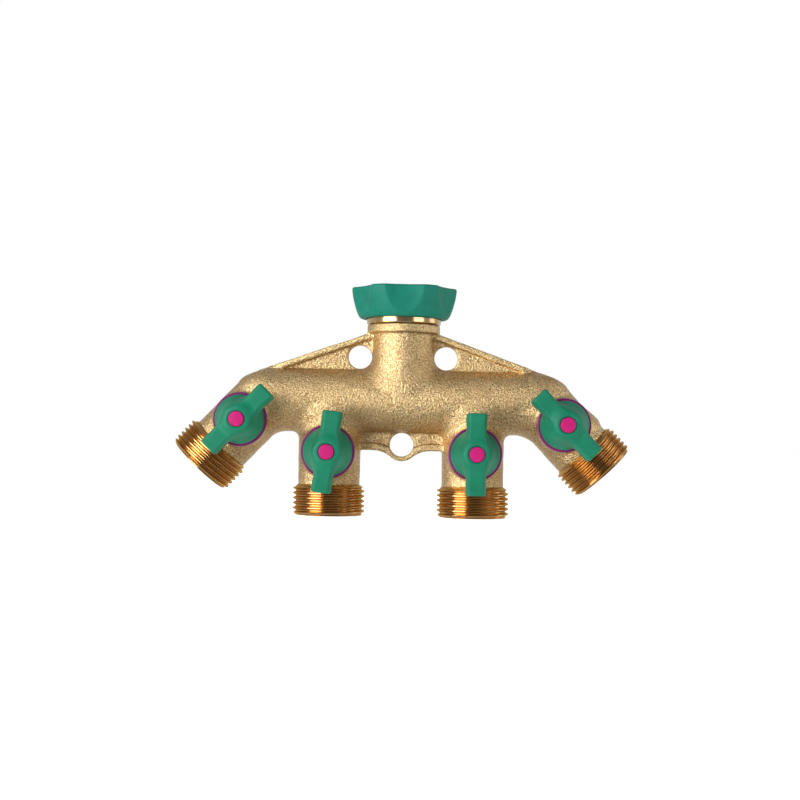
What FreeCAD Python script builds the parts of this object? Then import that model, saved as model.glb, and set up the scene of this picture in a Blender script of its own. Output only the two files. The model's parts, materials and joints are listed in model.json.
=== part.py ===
"""Four-way hose splitter: a cast brass manifold with a swivel inlet nut and four ball valves.

Millimetres. +X right, +Z up, the levers face -Y. The origin is the centre of the inlet's mouth.
Each valve has its own two frames, both at the centre of its ball: the stem frame, whose Z runs out
along the stem, and the outlet frame, whose Z runs down the outlet.
"""

import FreeCAD, Part

import os
import re

import Sketcher

VALVES = (1, 2, 3, 4)

SIZES = {
    # how far a cutting tool runs past what it cuts
    "overrun": 1.0,
    # main tube, counted from the inlet's mouth
    "tube_drop": 41.6,
    "tube_radius": 11.4,
    "tube_bore": 6.5,
    "elbow_radius": 11.5,
    "elbow_bore_stop": 3.2,
    "elbow_overlap": 5.0,
    # outlets: where each ball sits, counted from the main tube's axis
    "valve_x_1": -58.2,
    "valve_x_2": -26.45,
    "valve_x_3": 26.45,
    "valve_x_4": 58.2,
    "valve_drop_outer": 7.85,
    "valve_drop_inner": 18.85,
    "tilt_1": 43.4,
    "tilt_2": 0,
    "tilt_3": 0,
    "tilt_4": -43.4,
    "lever_tilt_1": 44.6,
    "lever_tilt_2": 7.4,
    "lever_tilt_3": 0,
    "lever_tilt_4": -44.6,
    "stub_radius": 11.35,
    "outlet_end": 23.3,
    # G 3/4 thread
    "thread_major": 13.22,
    "thread_minor": 12.06,
    "thread_pitch": 1.814,
    "ridge_base": 1.5,
    "ridge_flat": 0.3,
    "thread_first": 13.2,
    "thread_run_in": 0.3,
    "end_chamfer": 1.1,
    # neck, collar and spigot, counted up from the main tube's axis
    "neck_radius": 11.4,
    "collar_low": 24.8,
    "collar_top": 27.9,
    "collar_radius": 13.2,
    "spigot_radius": 9.9,
    "spigot_top": 31.9,
    "spigot_groove_low": 30.0,
    "spigot_groove_top": 31.0,
    "spigot_groove_radius": 9.0,
    "edge_break": 0.4,
    # gusset plates in the middle plane
    "web_thickness": 4.6,
    "rim_thickness": 7.0,
    "rim_width": 2.2,
    "rim_slant": 1.07,
    "inner_overlap": 4.0,
    "toe_overlap": 3.0,
    "web_top_x": 13.1,
    "web_top_z": 24.6,
    "web_toe_x": 50.3,
    "web_toe_z": 11.4,
    "web_low": 18.1,
    "lug_radius": 6.0,
    "lug_fillet": 10.5,
    "hole_radius": 4.35,
    "hole_x": 15.8,
    "hole_z": 16.0,
    # ball, seats and retainer, counted from the ball's centre
    "ball_radius": 7.25,
    "ball_bore": 4.5,
    "slot_floor": 5.1,
    "slot_width": 2.8,
    "seat_gap": 0.05,
    "seat_radius": 7.7,
    "seat_bore": 4.8,
    "seat_face": 3.9,
    "seat_back": 8.15,
    "chamber_radius": 7.75,
    "chamber_floor": 8.2,
    "port_radius": 4.9,
    "retainer_near": 8.25,
    "retainer_far": 12.25,
    "retainer_bore": 5.4,
    "spanner_slot": 2.0,
    "spanner_depth": 1.0,
    # stem and its boss, counted out from the ball's centre
    "boss_radius": 9.5,
    "boss_face": 12.6,
    "boss_neck_radius": 5.6,
    "boss_top": 17.0,
    "square_low": 17.1,
    "stem_radius": 3.0,
    "stem_hole": 3.05,
    "flange_radius": 3.8,
    "flange_low": 7.5,
    "flange_top": 9.0,
    "washer_top": 9.5,
    "washer_gap": 0.03,
    "pocket_radius": 4.2,
    "pocket_top": 9.6,
    "tang_low": 5.3,
    "tang_length": 6.0,
    "tang_width": 2.6,
    "seal_low": 12.3,
    "seal_high": 14.9,
    "seal_ring": 2.6,
    "seal_section": 0.42,
    "groove_radius": 2.15,
    "groove_width": 1.1,
    "square_side": 5.0,
    "square_top": 21.0,
    "tapped_radius": 1.5,
    "tapped_floor": 16.0,
    "tang_root": 0.5,
    # indicator ring, lever, screw and cap, counted out from the ball's centre
    "ring_radius": 9.75,
    "ring_bore": 5.75,
    "ring_top": 13.8,
    "lever_low": 14.1,
    "lever_radius": 8.9,
    "lever_edge": 0.3,
    "bell_low": 1.3,
    "bell_in_1": 0.5,
    "bell_in_2": 1.6,
    "bell_in_3": 2.8,
    "bell_in_4": 3.7,
    "bell_in_5": 4.4,
    "bell_in_6": 5.0,
    "bell_up_1": 2.2,
    "bell_up_2": 3.6,
    "bell_up_3": 5.6,
    "bell_up_4": 7.9,
    "bell_up_5": 10.3,
    "lever_hollow": 6.0,
    "lever_floor": 17.3,
    "socket_side": 5.1,
    "socket_top": 21.2,
    "screw_seat": 22.6,
    "screw_hole": 1.6,
    "hub_top": 25.2,
    "cap_recess": 3.0,
    "arm_length": 29.2,
    "arm_width": 7.1,
    "arm_bevel": 1.1,
    "arm_shoulder": 0.77,
    "arm_round": 0.3,
    "arm_side_drop": 3.3,
    "arm_foot": 0.4,
    "arm_low": 17.4,
    "arm_top": 23.8,
    "screw_head": 2.5,
    "screw_head_top": 24.0,
    "screw_shank": 1.45,
    "screw_tip": 16.4,
    "screw_bevel": 0.3,
    "head_bevel": 0.4,
    "drive_side": 1.6,
    "drive_depth": 0.9,
    "cap_radius": 2.75,
    "cap_skirt_radius": 2.96,
    "cap_low": 24.1,
    "cap_skirt_top": 24.6,
    "cap_top": 25.9,
    "cap_side_drop": 0.35,
    "cap_crown_drop": 0.1,
    # swivel nut, its grip, washer and retaining ring, counted up from the main tube's axis
    "nut_bore": 9.96,
    "nut_low": 28.15,
    "nut_ledge": 29.9,
    "nut_step": 31.9,
    "clip_room": 12.4,
    "nut_rim_radius": 13.65,
    "nut_rim_top": 31.4,
    "nut_radius": 14.85,
    "nut_first_ridge": 35.56,
    "nut_sink": 0.15,
    "key_count": 6,
    "key_low": 33.0,
    "key_radius": 15.6,
    "key_width": 2.4,
    "key_slack": 0.06,
    "key_root": 0.6,
    "clip_bore": 9.05,
    "clip_radius": 11.3,
    "clip_low": 30.1,
    "clip_top": 30.9,
    "clip_gap": 4.0,
    "washer_low": 31.95,
    "washer_high": 33.95,
    "washer_radius": 11.9,
    "washer_bore": 7.5,
    "grip_low": 30.25,
    "grip_bore_gap": 0.2,
    "grip_edge": 0.4,
    "grip_toe": 0.5,
    "grip_heel": 31.0,
    "grip_heel_radius": 16.6,
    "grip_flank": 36.0,
    "grip_flank_radius": 18.45,
    "grip_seat": 31.3,
    "grip_radius": 19.3,
    "grip_straight_low": 40.6,
    "grip_waist_radius": 17.6,
    "grip_waist": 33.0,
    "grip_foot_radius": 15.9,
    "hollow_count": 6,
    "hollow_radius": 22.6,
    "hollow_reach": 39.4,
    "hollow_turn": 0.5,
}

OUTLET_RIDGES = 6
NUT_RIDGES = 4

# where the outer outlets' axes cross the main tube's axis
ELBOW_REACH = "(valve_x_4 - valve_drop_outer * tan(tilt_1))"

doc = FreeCAD.newDocument("hose_splitter")


def fill_sheet():
    """Puts every driving dimension in its own cell, under its own alias."""
    sheet = doc.addObject("Spreadsheet::Sheet", "Sizes")
    for row, (alias, value) in enumerate(SIZES.items(), start=1):
        sheet.set(f"A{row}", alias)
        sheet.set(f"B{row}", str(value))
        sheet.setAlias(f"B{row}", alias)
    doc.recompute()
    return sheet


def sized(text):
    """An expression in which each alias stands for its cell."""

    def cell(word):
        name = word.group()
        return f"Sizes.{name}" if name in SIZES else name

    return re.sub(r"[a-z_][a-z0-9_]*", cell, text)


def value_of(text):
    return float(sheet.evalExpression(sized(text)))


def bind(thing, **expressions):
    for name, text in expressions.items():
        thing.setExpression(name, sized(text))


def placed(x="0", y="0", z="0", pitch="0", roll="0"):
    """A placement: turned about X by roll, then about Y by pitch, then moved."""
    move = f"create(<<vector>>; {sized(x)}; {sized(y)}; {sized(z)})"
    turn = f"create(<<rotation>>; 0; {sized(pitch)}; {sized(roll)})"
    return f"create(<<placement>>; {move}; {turn})"


def new_body(label, placement=None):
    body = doc.addObject("PartDesign::Body", label)
    body.Label = label
    if placement:
        body.setExpression("Placement", placement)
    return body


def new_sketch(body, role, **offset):
    """A sketch on one of the body's own origin planes, moved and turned within it by offset."""
    sketch = body.newObject("Sketcher::SketchObject", f"{body.Name}_sketch")
    plane = next(o for o in body.Origin.OriginFeatures if o.Role == role)
    sketch.AttachmentSupport = [(plane, "")]
    sketch.MapMode = "FlatFace"
    for name in ("x", "y", "z"):
        if name in offset:
            sketch.setExpression(f"AttachmentOffset.Base.{name}", sized(offset[name]))
    if "turn" in offset:
        sketch.setExpression("AttachmentOffset.Rotation.Angle", sized(offset["turn"]))
        sketch.setExpression("AttachmentOffset.Rotation.Axis.z", "1")
    return sketch


def draw_polygon(sketch, points):
    """A closed outline whose corners are bound to expressions, as distances from the sketch's origin."""
    corners = [FreeCAD.Vector(value_of(x), value_of(y), 0) for x, y in points]
    first = sketch.GeometryCount
    count = len(points)
    for i, corner in enumerate(corners):
        sketch.addGeometry(Part.LineSegment(corner, corners[(i + 1) % count]), False)
    for i, (x, y) in enumerate(points):
        line = first + i
        following = first + (i + 1) % count
        sketch.addConstraint(Sketcher.Constraint("Coincident", line, 2, following, 1))
        for kind, text in (("DistanceX", x), ("DistanceY", y)):
            rule = Sketcher.Constraint(kind, -1, 1, line, 1, value_of(text))
            index = sketch.addConstraint(rule)
            sketch.setExpression(f"Constraints[{index}]", sized(text))


def draw_circle(sketch, x, y, radius):
    centre = FreeCAD.Vector(value_of(x), value_of(y), 0)
    shape = Part.Circle(centre, FreeCAD.Vector(0, 0, 1), value_of(radius))
    line = sketch.addGeometry(shape, False)
    rules = (
        (Sketcher.Constraint("DistanceX", -1, 1, line, 3, centre.x), x),
        (Sketcher.Constraint("DistanceY", -1, 1, line, 3, centre.y), y),
        (Sketcher.Constraint("Radius", line, value_of(radius)), radius),
    )
    for rule, text in rules:
        index = sketch.addConstraint(rule)
        sketch.setExpression(f"Constraints[{index}]", sized(text))


def turn(body, points, cut=False, role="XZ_Plane", **offset):
    """Turns an outline, given as (radius, height) corners, about the sketch's vertical axis."""
    sketch = new_sketch(body, role, **offset)
    draw_polygon(sketch, points)
    kind = "PartDesign::Groove" if cut else "PartDesign::Revolution"
    feature = body.newObject(kind, f"{body.Name}_turn")
    feature.Profile = sketch
    feature.ReferenceAxis = (sketch, ["V_Axis"])
    feature.Angle = 360
    return feature


def extrude(body, sketch, length, cut=False):
    """Pads or pockets a sketch, half of the length to each side of its plane."""
    kind = "PartDesign::Pocket" if cut else "PartDesign::Pad"
    feature = body.newObject(kind, f"{body.Name}_extrude")
    feature.Profile = sketch
    feature.Midplane = True
    bind(feature, Length=length)
    return feature


def solid_feature(body, kind, placement=None, **expressions):
    """A cylinder, box or sphere added to the body or taken from it, such as SubtractiveCylinder."""
    feature = body.newObject(f"PartDesign::{kind}", f"{body.Name}_{kind}")
    bind(feature, **expressions)
    if placement:
        feature.setExpression("Placement", placement)
    return feature


def tube_outline(inner, outer, low, high):
    return [(inner, low), (outer, low), (outer, high), (inner, high)]


def ridges(count, first, root, crest, sign=""):
    """Corners along a row of thread ridges, each a full ring with a narrow flat crest."""
    corners = []
    for k in range(count):
        for radius, shift in (
            (root, "- ridge_base / 2"),
            (crest, "- ridge_flat / 2"),
            (crest, "+ ridge_flat / 2"),
            (root, "+ ridge_base / 2"),
        ):
            corners.append((radius, f"{sign}({first} + {k} * thread_pitch {shift})"))
    return corners


def valve_height(n):
    return f"-tube_drop - {valve_drop(n)}"


def valve_drop(n):
    return "valve_drop_outer" if n in (1, 4) else "valve_drop_inner"


def valve_rise(n):
    """How far it is from a ball's centre up its outlet to the main tube's axis."""
    return f"{valve_drop(n)} / cos(tilt_{n})"


def stem_frame(n, tilt):
    """Z out along the stem, Y up the outlet."""
    return placed(f"valve_x_{n}", "0", valve_height(n), f"{tilt}_{n}", "90")


def outlet_frame(n):
    """Z down the outlet."""
    return placed(f"valve_x_{n}", "0", valve_height(n), f"tilt_{n}", "180")


# The manifold: tubes and gusset plates fused, then hollowed.


def add_outlet(body, n):
    """One outlet stub with its threaded end, turned about the outlet's axis."""
    corners = [
        ("0", valve_rise(n)),
        ("stub_radius", valve_rise(n)),
        ("stub_radius", "-(thread_first - ridge_base / 2 - thread_run_in)"),
    ]
    corners += ridges(OUTLET_RIDGES, "thread_first", "thread_minor", "thread_major", "-")[:-1]
    corners += [
        ("thread_major - end_chamfer", "-outlet_end"),
        ("0", "-outlet_end"),
    ]
    turn(body, corners, x=f"valve_x_{n}", y=f"-{valve_drop(n)}", turn=f"-tilt_{n}")


def add_boss(body, n):
    """The round pad on the front of a stub, with the neck that the stem comes out of."""
    corners = [
        ("0", "0"),
        ("boss_radius", "0"),
        ("boss_radius", "-boss_face"),
        ("boss_neck_radius", "-boss_face"),
        ("boss_neck_radius", "-boss_top"),
        ("0", "-boss_top"),
    ]
    turn(body, corners, role="XY_Plane", x=f"valve_x_{n}", z=f"-{valve_drop(n)}")


def build_tubes():
    """The outsides of the tubes, from the main tube's centre."""
    body = new_body("manifold_tubes", placed(z="-tube_drop"))
    run = new_sketch(body, "YZ_Plane")
    draw_circle(run, "0", "0", "tube_radius")
    extrude(body, run, f"2 * {ELBOW_REACH}")
    for side in ("-", ""):
        elbow = placed(f"{side}{ELBOW_REACH}")
        solid_feature(body, "AdditiveSphere", elbow, Radius="elbow_radius")
    neck = [
        ("0", "0"),
        ("neck_radius", "0"),
        ("neck_radius", "collar_low"),
        ("collar_radius - edge_break", "collar_low"),
        ("collar_radius", "collar_low + edge_break"),
        ("collar_radius", "collar_top - edge_break"),
        ("collar_radius - edge_break", "collar_top"),
        ("spigot_radius", "collar_top"),
        ("spigot_radius", "spigot_groove_low"),
        ("spigot_groove_radius", "spigot_groove_low"),
        ("spigot_groove_radius", "spigot_groove_top"),
        ("spigot_radius", "spigot_groove_top"),
        ("spigot_radius", "spigot_top"),
        ("0", "spigot_top"),
    ]
    turn(body, neck)
    for n in VALVES:
        add_outlet(body, n)
        add_boss(body, n)
    return body


def top_plate(drop):
    """The upper gussets as one outline, with its sloping edges lowered by drop."""
    slope = "(web_top_z - web_toe_z) / (web_toe_x - web_top_x)"
    inner = f"web_top_z + inner_overlap * {slope} - {drop}"
    outer = f"web_toe_z - toe_overlap * {slope} - {drop}"
    return [
        ("-web_toe_x - toe_overlap", "0"),
        ("web_toe_x + toe_overlap", "0"),
        ("web_toe_x + toe_overlap", outer),
        ("web_top_x - inner_overlap", inner),
        ("-web_top_x + inner_overlap", inner),
        ("-web_toe_x - toe_overlap", outer),
    ]


def bottom_plate(rise):
    """The lower gusset between the middle outlets, with its lower edge raised by rise."""
    low = f"-web_low + {rise}"
    return [
        ("valve_x_2", low),
        ("valve_x_3", low),
        ("valve_x_3", "0"),
        ("valve_x_2", "0"),
    ]


def is_lug_corner(edge):
    """True for the two short edges where the lug's round wall meets the plate's lower edge."""
    reach = value_of("sqrt(lug_radius ^ 2 - (web_low - hole_z) ^ 2)")
    low = -value_of("web_low")
    sides = {round(vertex.Point.x, 2) for vertex in edge.Vertexes}
    heights = {round(vertex.Point.z, 2) for vertex in edge.Vertexes}
    return heights == {low} and sides in ({round(reach, 2)}, {round(-reach, 2)})


def build_plates():
    """The gusset plates: thick along their rims, recessed between them, with the wall holes."""
    body = new_body("manifold_plates", placed(z="-tube_drop"))
    for outline in (top_plate("0"), bottom_plate("0")):
        sketch = new_sketch(body, "XZ_Plane")
        draw_polygon(sketch, outline)
        extrude(body, sketch, "rim_thickness")
    lug = new_sketch(body, "XZ_Plane")
    draw_circle(lug, "0", "-hole_z", "lug_radius")
    last = extrude(body, lug, "rim_thickness")
    doc.recompute()
    corners = [f"Edge{i}" for i, e in enumerate(last.Shape.Edges, start=1) if is_lug_corner(e)]
    blend = body.newObject("PartDesign::Fillet", "lug_blend")
    blend.Base = (last, corners)
    bind(blend, Radius="lug_fillet")
    for side in ("", "-"):
        for outline in (top_plate("rim_slant * rim_width"), bottom_plate("rim_width")):
            sketch = new_sketch(body, "XZ_Plane", z=f"{side}(web_thickness + rim_thickness) / 2")
            draw_polygon(sketch, outline)
            extrude(body, sketch, "rim_thickness", cut=True)
    ring = new_sketch(body, "XZ_Plane")
    draw_circle(ring, "0", "-hole_z", "lug_radius")
    extrude(body, ring, "rim_thickness")
    holes = new_sketch(body, "XZ_Plane")
    draw_circle(holes, "hole_x", "hole_z", "hole_radius")
    draw_circle(holes, "-hole_x", "hole_z", "hole_radius")
    draw_circle(holes, "0", "-hole_z", "hole_radius")
    extrude(body, holes, "2 * rim_thickness", cut=True)
    return body


def add_waterway(body, n):
    """A valve's chamber, open at the outlet's end, and the port that joins it to the main bore."""
    port_top = valve_rise(n)
    if n in (1, 4):
        port_top += " + elbow_overlap"
    corners = [
        ("0", port_top),
        ("port_radius", port_top),
        ("port_radius", "chamber_floor"),
        ("chamber_radius", "chamber_floor"),
        ("chamber_radius", "-outlet_end - overrun"),
        ("0", "-outlet_end - overrun"),
    ]
    turn(body, corners, x=f"valve_x_{n}", y=f"-{valve_drop(n)}", turn=f"-tilt_{n}")


def add_stem_bore(body, n):
    corners = [
        ("0", "0"),
        ("pocket_radius", "0"),
        ("pocket_radius", "-pocket_top"),
        ("stem_hole", "-pocket_top"),
        ("stem_hole", "-boss_top - overrun"),
        ("0", "-boss_top - overrun"),
    ]
    turn(body, corners, role="XY_Plane", x=f"valve_x_{n}", z=f"-{valve_drop(n)}")


def build_waterways():
    """Everything that is hollow inside the manifold, as one solid to cut away."""
    body = new_body("manifold_waterways", placed(z="-tube_drop"))
    run = new_sketch(body, "YZ_Plane")
    draw_circle(run, "0", "0", "tube_bore")
    extrude(body, run, f"2 * ({ELBOW_REACH} - elbow_bore_stop)")
    turn(body, tube_outline("0", "tube_bore", "0", "spigot_top + overrun"))
    for n in VALVES:
        add_waterway(body, n)
        add_stem_bore(body, n)
    return body


def build_manifold():
    outside = doc.addObject("Part::MultiFuse", "manifold_outside")
    outside.Shapes = [build_tubes(), build_plates()]
    manifold = doc.addObject("Part::Cut", "manifold_body")
    manifold.Label = "manifold_body"
    manifold.Base = outside
    manifold.Tool = build_waterways()
    return manifold


# The inlet: swivel nut, its grip, the retaining ring and the washer.


def build_swivel_nut():
    body = new_body("swivel_nut", placed(z="-tube_drop"))
    mouth = "tube_drop - nut_sink"
    thread = ridges(NUT_RIDGES, "nut_first_ridge", "thread_major", "thread_minor")[:-1]
    corners = [
        ("nut_bore", "nut_low"),
        ("nut_rim_radius - edge_break", "nut_low"),
        ("nut_rim_radius", "nut_low + edge_break"),
        ("nut_rim_radius", "nut_rim_top"),
        ("nut_radius", "nut_rim_top"),
        ("nut_radius", mouth),
        ("thread_minor + edge_break", mouth),
    ]
    corners += reversed(thread)
    corners += [
        ("thread_major", "nut_step"),
        ("clip_room", "nut_step"),
        ("clip_room", "nut_ledge"),
        ("nut_bore", "nut_ledge"),
    ]
    turn(body, corners)
    add_keys(body, "AdditiveBox", "0", "key_low", mouth)
    return body


def add_keys(body, kind, slack, low, high):
    """A ring of keys, or of the slots for them."""
    box = solid_feature(
        body,
        kind,
        placed("nut_radius - key_root", f"-key_width / 2 - {slack}", low),
        Length=f"key_radius - nut_radius + key_root + {slack}",
        Width=f"key_width + 2 * {slack}",
        Height=f"{high} - ({low})",
    )
    pattern = body.newObject("PartDesign::PolarPattern", f"{body.Name}_keys")
    pattern.Originals = [box]
    axis = next(o for o in body.Origin.OriginFeatures if o.Role == "Z_Axis")
    pattern.Axis = (axis, [""])
    pattern.Angle = 360
    bind(pattern, Occurrences="key_count")
    body.Tip = pattern


def build_nut_grip():
    """The moulded grip: a tapered cup with six hollows round it, which the brass nut is keyed into."""
    body = new_body("nut_grip", placed(z="-tube_drop"))
    wall = "nut_radius + key_slack"
    corners = [
        ("nut_rim_radius + grip_bore_gap", "grip_low"),
        ("grip_foot_radius - grip_toe", "grip_low"),
        ("grip_foot_radius", "grip_low + grip_edge"),
        ("grip_heel_radius", "grip_heel"),
        ("grip_waist_radius", "grip_waist"),
        ("grip_flank_radius", "grip_flank"),
        ("grip_radius", "grip_straight_low"),
        ("grip_radius", "tube_drop - grip_edge"),
        ("grip_radius - grip_edge", "tube_drop"),
        (f"{wall} + grip_edge", "tube_drop"),
        (wall, "tube_drop - grip_edge"),
        (wall, "grip_seat"),
        ("nut_rim_radius + grip_bore_gap", "grip_seat"),
    ]
    turn(body, corners)
    hollow = solid_feature(
        body,
        "SubtractiveCylinder",
        placed(
            "hollow_reach * sin(hollow_turn)",
            "-hollow_reach * cos(hollow_turn)",
            "grip_low - overrun",
        ),
        Radius="hollow_radius",
        Height="tube_drop - grip_low + 2 * overrun",
    )
    pattern = body.newObject("PartDesign::PolarPattern", "nut_grip_hollows")
    pattern.Originals = [hollow]
    axis = next(o for o in body.Origin.OriginFeatures if o.Role == "Z_Axis")
    pattern.Axis = (axis, [""])
    pattern.Angle = 360
    bind(pattern, Occurrences="hollow_count")
    body.Tip = pattern
    add_keys(body, "SubtractiveBox", "key_slack", "key_low - key_slack", "tube_drop + overrun")
    return body


def build_retaining_ring():
    """The open spring ring in the spigot's groove, which keeps the nut on."""
    body = new_body("nut_retaining_ring", placed(z="-tube_drop"))
    turn(body, tube_outline("clip_bore", "clip_radius", "clip_low", "clip_top"))
    solid_feature(
        body,
        "SubtractiveBox",
        placed("-clip_gap / 2", "0", "clip_low - overrun"),
        Length="clip_gap",
        Width="clip_radius + overrun",
        Height="clip_top - clip_low + 2 * overrun",
    )
    return body


def build_inlet_washer():
    body = new_body("inlet_washer", placed(z="-tube_drop"))
    turn(body, tube_outline("washer_bore", "washer_radius", "washer_low", "washer_high"))
    return body


# One valve: the pieces along the outlet, then those along the stem.


def build_seat(n, name, side):
    """A PTFE seat ring with a spherical face; side turns it to face the ball from either end."""
    body = new_body(f"{name}_{n}", outlet_frame(n))
    corners = [
        ("seat_bore", f"{side}seat_face"),
        ("seat_radius", f"{side}seat_face"),
        ("seat_radius", f"{side}seat_back"),
        ("seat_bore", f"{side}seat_back"),
    ]
    turn(body, corners)
    solid_feature(body, "SubtractiveSphere", Radius="ball_radius + seat_gap")
    return body


def build_retainer(n):
    """The ring that holds the outer seat in, with two slots for a pin spanner."""
    body = new_body(f"seat_retainer_{n}", outlet_frame(n))
    turn(body, tube_outline("retainer_bore", "seat_radius", "retainer_near", "retainer_far"))
    solid_feature(
        body,
        "SubtractiveBox",
        placed("-chamber_radius", "-spanner_slot / 2", "retainer_far - spanner_depth"),
        Length="2 * chamber_radius",
        Width="spanner_slot",
        Height="spanner_depth + overrun",
    )
    return body


def build_ball(n):
    """The ball, bored through, with a slot across its top for the stem's tang."""
    body = new_body(f"ball_{n}", stem_frame(n, "lever_tilt"))
    solid_feature(body, "AdditiveSphere", Radius="ball_radius")
    solid_feature(
        body,
        "SubtractiveCylinder",
        placed("0", "2 * ball_radius", "0", "0", "90"),
        Radius="ball_bore",
        Height="4 * ball_radius",
    )
    solid_feature(
        body,
        "SubtractiveBox",
        placed("-2 * ball_radius", "-slot_width / 2", "slot_floor"),
        Length="4 * ball_radius",
        Width="slot_width",
        Height="ball_radius",
    )
    return body


def build_stem(n):
    """The stem: a tang in the ball's slot, a flange, two seal grooves and a square head."""
    body = new_body(f"stem_{n}", stem_frame(n, "lever_tilt"))
    corners = [
        ("0", "flange_low"),
        ("flange_radius", "flange_low"),
        ("flange_radius", "flange_top"),
        ("stem_radius", "flange_top"),
    ]
    for seal in ("seal_low", "seal_high"):
        low = f"{seal} - groove_width / 2"
        high = f"{seal} + groove_width / 2"
        corners += [
            ("stem_radius", low),
            ("groove_radius", low),
            ("groove_radius", high),
            ("stem_radius", high),
        ]
    corners += [("stem_radius", "square_low"), ("0", "square_low")]
    turn(body, corners)
    solid_feature(
        body,
        "AdditiveBox",
        placed("-square_side / 2", "-square_side / 2", "square_low"),
        Length="square_side",
        Width="square_side",
        Height="square_top - square_low",
    )
    solid_feature(
        body,
        "AdditiveBox",
        placed("-tang_length / 2", "-tang_width / 2", "tang_low"),
        Length="tang_length",
        Width="tang_width",
        Height="flange_low - tang_low + tang_root",
    )
    solid_feature(
        body,
        "SubtractiveCylinder",
        placed(z="tapped_floor"),
        Radius="tapped_radius",
        Height="square_top",
    )
    return body


def build_stem_washer(n):
    body = new_body(f"stem_washer_{n}", stem_frame(n, "tilt"))
    turn(body, tube_outline("stem_hole", "flange_radius", "flange_top + washer_gap", "washer_top"))
    return body


def build_stem_seals(n):
    """The two O-rings on a stem, as one group."""
    rings = []
    for place in ("low", "high"):
        ring = doc.addObject("Part::Torus", f"stem_seal_{place}_{n}")
        bind(ring, Radius1="seal_ring", Radius2="seal_section")
        ring.setExpression("Placement", placed(z=f"seal_{place}"))
        rings.append(ring)
    seals = doc.addObject("Part::Compound", f"stem_seals_{n}")
    seals.Label = f"stem_seals_{n}"
    seals.Links = rings
    seals.setExpression("Placement", stem_frame(n, "lever_tilt"))
    return seals


def build_indicator_ring(n):
    body = new_body(f"indicator_ring_{n}", stem_frame(n, "tilt"))
    corners = [
        ("ring_bore", "boss_face"),
        ("ring_radius", "boss_face"),
        ("ring_radius", "ring_top - edge_break"),
        ("ring_radius - edge_break", "ring_top"),
        ("ring_bore", "ring_top"),
    ]
    turn(body, corners)
    return body


def build_lever(n):
    """The butterfly lever: a bell-shaped hub with two bevelled arms, hollow underneath."""
    body = new_body(f"lever_{n}", stem_frame(n, "lever_tilt"))
    bell = [
        ("0", "lever_low"),
        ("lever_radius - lever_edge", "lever_low"),
        ("lever_radius", "lever_low + lever_edge"),
        ("lever_radius", "lever_low + bell_low"),
        ("lever_radius - bell_in_1", "lever_low + bell_up_1"),
        ("lever_radius - bell_in_2", "lever_low + bell_up_2"),
        ("lever_radius - bell_in_3", "lever_low + bell_up_3"),
        ("lever_radius - bell_in_4", "lever_low + bell_up_4"),
        ("lever_radius - bell_in_5", "lever_low + bell_up_5"),
        ("lever_radius - bell_in_6", "hub_top"),
        ("0", "hub_top"),
    ]
    turn(body, bell)
    half = "arm_width / 2"
    section = [
        (f"-{half}", "arm_low + arm_foot"),
        (f"-{half} + arm_foot", "arm_low"),
        (f"{half} - arm_foot", "arm_low"),
        (half, "arm_low + arm_foot"),
        (half, "arm_top - arm_side_drop"),
        (f"{half} - arm_shoulder", "arm_top - arm_round"),
        (f"{half} - arm_bevel", "arm_top"),
        (f"-{half} + arm_bevel", "arm_top"),
        (f"-{half} + arm_shoulder", "arm_top - arm_round"),
        (f"-{half}", "arm_top - arm_side_drop"),
    ]
    arms = new_sketch(body, "XZ_Plane")
    draw_polygon(arms, section)
    extrude(body, arms, "arm_length")
    solid_feature(
        body,
        "SubtractiveCylinder",
        placed(z="lever_low - overrun"),
        Radius="lever_hollow",
        Height="lever_floor - lever_low + overrun",
    )
    solid_feature(
        body,
        "SubtractiveBox",
        placed("-socket_side / 2", "-socket_side / 2", "lever_low"),
        Length="socket_side",
        Width="socket_side",
        Height="socket_top - lever_low",
    )
    solid_feature(
        body,
        "SubtractiveCylinder",
        placed(z="lever_low"),
        Radius="screw_hole",
        Height="hub_top",
    )
    solid_feature(
        body,
        "SubtractiveCylinder",
        placed(z="screw_seat"),
        Radius="cap_recess",
        Height="hub_top",
    )
    return body


def build_lever_screw(n):
    """The screw that holds the lever down, with a square drive in its head."""
    body = new_body(f"lever_screw_{n}", stem_frame(n, "lever_tilt"))
    corners = [
        ("0", "screw_tip"),
        ("screw_shank - screw_bevel", "screw_tip"),
        ("screw_shank", "screw_tip + screw_bevel"),
        ("screw_shank", "screw_seat"),
        ("screw_head", "screw_seat"),
        ("screw_head", "screw_head_top - head_bevel"),
        ("screw_head - head_bevel", "screw_head_top"),
        ("0", "screw_head_top"),
    ]
    turn(body, corners)
    solid_feature(
        body,
        "SubtractiveBox",
        placed("-drive_side / 2", "-drive_side / 2", "screw_head_top - drive_depth"),
        Length="drive_side",
        Width="drive_side",
        Height="drive_depth + overrun",
    )
    return body


def build_cap(n):
    """The coloured cap over the screw, with a skirt that grips the recess."""
    body = new_body(f"cap_{n}", stem_frame(n, "lever_tilt"))
    corners = [
        ("0", "cap_low"),
        ("cap_skirt_radius", "cap_low"),
        ("cap_skirt_radius", "cap_skirt_top"),
        ("cap_radius", "cap_skirt_top"),
        ("cap_radius", "cap_top - cap_side_drop"),
        ("cap_radius - cap_side_drop", "cap_top - cap_crown_drop"),
        ("cap_radius / 2", "cap_top"),
        ("0", "cap_top"),
    ]
    turn(body, corners)
    return body


def build_valve(n):
    return [
        build_seat(n, "seat_inner", "-"),
        build_seat(n, "seat_outer", ""),
        build_retainer(n),
        build_ball(n),
        build_stem(n),
        build_stem_washer(n),
        build_stem_seals(n),
        build_indicator_ring(n),
        build_lever(n),
        build_lever_screw(n),
        build_cap(n),
    ]


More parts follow.
